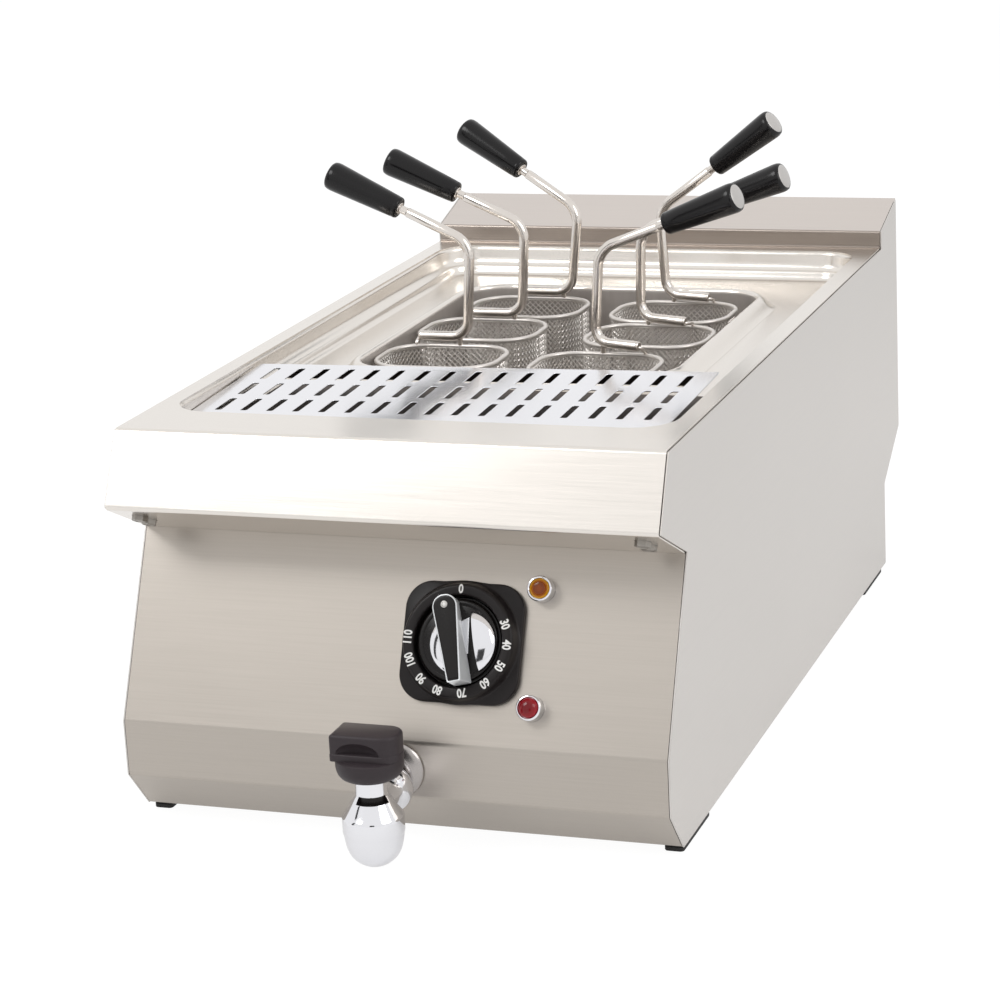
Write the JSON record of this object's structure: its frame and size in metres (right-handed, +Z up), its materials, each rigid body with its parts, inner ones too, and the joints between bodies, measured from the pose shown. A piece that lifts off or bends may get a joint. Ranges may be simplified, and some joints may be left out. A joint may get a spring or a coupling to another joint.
{
  "type": "countertop pasta cooker",
  "caption": "Countertop electric pasta cooker: steel body, heated well with lift-out baskets, slotted drip plate, control dial, lamps and drain tap.",
  "frame": {"origin": "bottom centre of the bounding box, on the counter under the feet", "axes": "+X to the right seen from the front, +Y towards the back, +Z up; the control panel faces -Y"},
  "size_m": [0.4, 0.822, 0.4291],
  "materials": {
    "body_steel": "brushed stainless sheet, warm light grey",
    "side_steel": "brushed stainless sheet, vertical grain",
    "tank_steel": "pressed stainless, satin",
    "wire_steel": "drawn stainless wire and rod",
    "polished_steel": "bright rolled stainless",
    "galvanised": "galvanised sheet",
    "zinc": "zinc-plated steel",
    "chrome": "chrome plate",
    "black_gloss": "moulded black thermoset, glossy",
    "black_matt": "moulded black plastic, satin",
    "white_mark": "white inlay",
    "amber": "amber lens",
    "red": "red lens",
    "ceramic": "pale steatite",
    "rubber": "black rubber"
  },
  "bodies": {
    "cooker": {"side_panel_left": "side_steel", "side_panel_right": "side_steel", "worktop": "body_steel", "control_panel": "body_steel", "splashback": "body_steel", "back_panel": "galvanised", "base_pan": "galvanised", "thermostat_body": "galvanised", "well_tank": "tank_steel", "basket_grid": "tank_steel", "heating_element": "wire_steel", "drain_pipe": "wire_steel", "thermostat_bulb": "wire_steel", "element_flange": "zinc", "nose_bolt_1": "zinc", "nose_bolt_2": "zinc", "nose_bolt_3": "zinc", "nose_bolt_4": "zinc", "limit_thermostat": "black_matt", "contactor": "black_matt", "cable_gland": "black_matt", "dial_bezel": "black_matt", "terminal_block": "ceramic", "lamp_amber_bezel": "chrome", "lamp_red_bezel": "chrome", "tap_body": "chrome", "lamp_amber_lens": "amber", "lamp_red_lens": "red", "tap_flange": "polished_steel", "foot_front_left": "rubber", "foot_front_right": "rubber", "foot_rear_left": "rubber", "foot_rear_right": "rubber"},
    "basket_front_left": {"basket_front_left": "wire_steel", "handle_front_left": "wire_steel", "grip_front_left": "black_gloss"},
    "basket_middle_left": {"basket_middle_left": "wire_steel", "handle_middle_left": "wire_steel", "grip_middle_left": "black_gloss"},
    "basket_rear_left": {"basket_rear_left": "wire_steel", "handle_rear_left": "wire_steel", "grip_rear_left": "black_gloss"},
    "basket_front_right": {"basket_front_right": "wire_steel", "handle_front_right": "wire_steel", "grip_front_right": "black_gloss"},
    "basket_middle_right": {"basket_middle_right": "wire_steel", "handle_middle_right": "wire_steel", "grip_middle_right": "black_gloss"},
    "basket_rear_right": {"basket_rear_right": "wire_steel", "handle_rear_right": "wire_steel", "grip_rear_right": "black_gloss"},
    "drip_plate": {"drip_plate": "polished_steel"},
    "knob": {"knob": "black_gloss", "knob_pointer": "white_mark", "knob_dome_left": "chrome", "knob_dome_right": "chrome"},
    "tap_handle": {"tap_handle": "black_matt"}
  },
  "joints": [
    {"name": "lift_front_left", "type": "slide", "parent": "cooker", "child": "basket_front_left", "axis": [0, 0, 1], "range_m": [0, 0.3]},
    {"name": "lift_middle_left", "type": "slide", "parent": "cooker", "child": "basket_middle_left", "axis": [0, 0, 1], "range_m": [0, 0.3]},
    {"name": "lift_rear_left", "type": "slide", "parent": "cooker", "child": "basket_rear_left", "axis": [0, 0, 1], "range_m": [0, 0.3]},
    {"name": "lift_front_right", "type": "slide", "parent": "cooker", "child": "basket_front_right", "axis": [0, 0, 1], "range_m": [0, 0.3]},
    {"name": "lift_middle_right", "type": "slide", "parent": "cooker", "child": "basket_middle_right", "axis": [0, 0, 1], "range_m": [0, 0.3]},
    {"name": "lift_rear_right", "type": "slide", "parent": "cooker", "child": "basket_rear_right", "axis": [0, 0, 1], "range_m": [0, 0.3]},
    {"name": "lift_drip_plate", "type": "slide", "parent": "cooker", "child": "drip_plate", "axis": [0, 0, 1], "range_m": [0, 0.15]},
    {"name": "knob_turn", "type": "hinge", "parent": "cooker", "child": "knob", "pos_m": [0.048, -0.30882, 0.14135], "axis": [0, -0.9028, 0.43], "range_deg": [-284, 0]},
    {"name": "tap_turn", "type": "hinge", "parent": "cooker", "child": "tap_handle", "pos_m": [0.0055, -0.386, 0.066], "axis": [0, 0, 1], "range_deg": [0, 90]}
  ]
}
